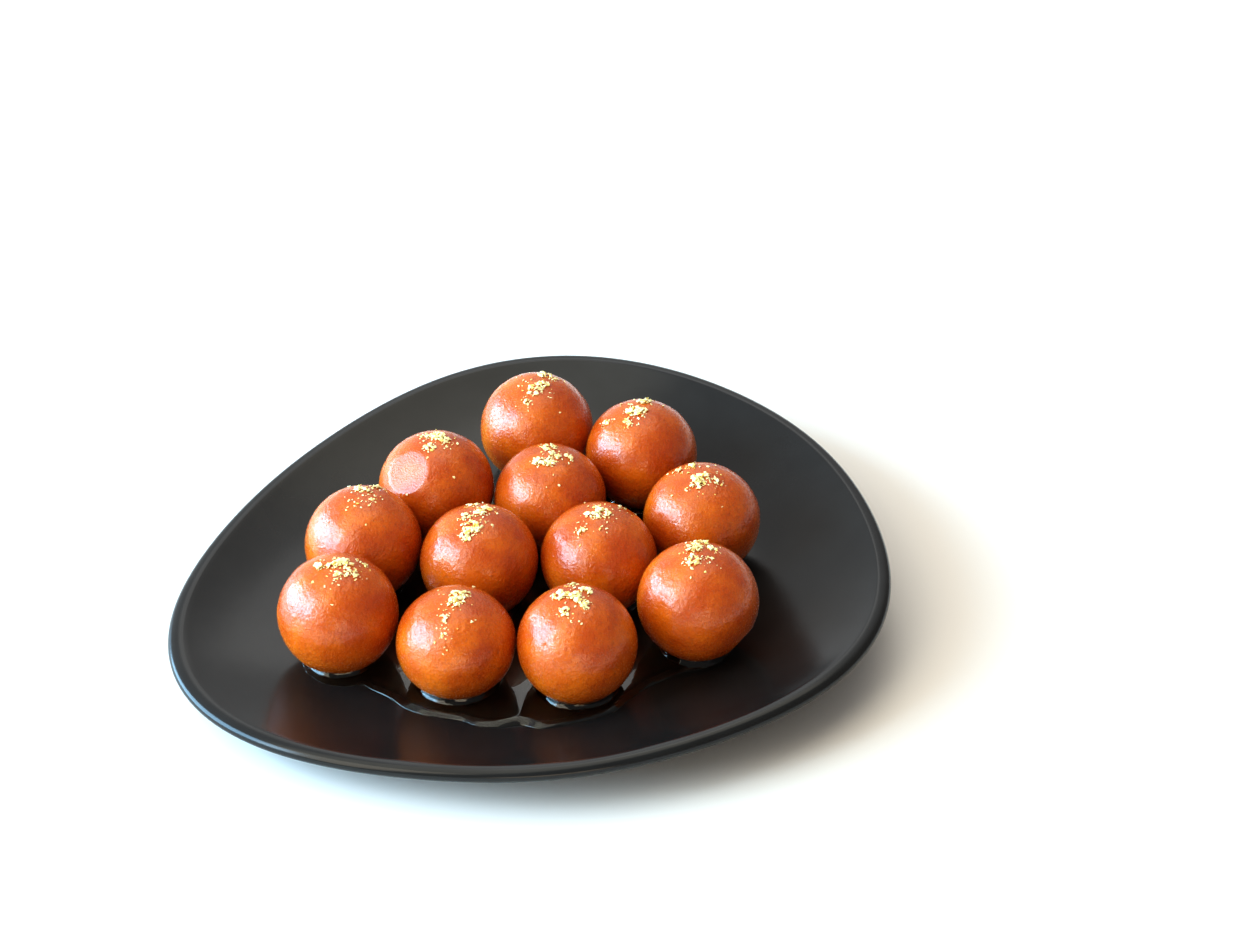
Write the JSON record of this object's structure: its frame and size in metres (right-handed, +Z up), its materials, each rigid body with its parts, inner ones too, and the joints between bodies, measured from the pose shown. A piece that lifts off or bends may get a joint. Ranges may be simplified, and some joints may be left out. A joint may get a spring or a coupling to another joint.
{
  "type": "plate of gulab jamun",
  "caption": "Syrup-soaked fried milk dumplings heaped on a shallow black rounded-triangle coupe plate, as a served sweet.",
  "frame": {"origin": "middle of the bounding box, on the flat bottom of the foot ring", "axes": "+X towards the plate's raised right side, +Y towards the back of the dish, +Z up"},
  "size_m": [0.2556, 0.2519, 0.0497],
  "materials": {
    "black_glaze": "satin",
    "fried_skin": "gloss"
  },
  "bodies": {
    "root": {"plate": "black_glaze", "jamun_01": "fried_skin", "jamun_02": "fried_skin", "jamun_03": "fried_skin", "jamun_04": "fried_skin", "jamun_05": "fried_skin", "jamun_06": "fried_skin", "jamun_07": "fried_skin", "jamun_08": "fried_skin", "jamun_09": "fried_skin", "jamun_10": "fried_skin", "jamun_11": "fried_skin", "jamun_12": "fried_skin"}
  },
  "joints": []
}
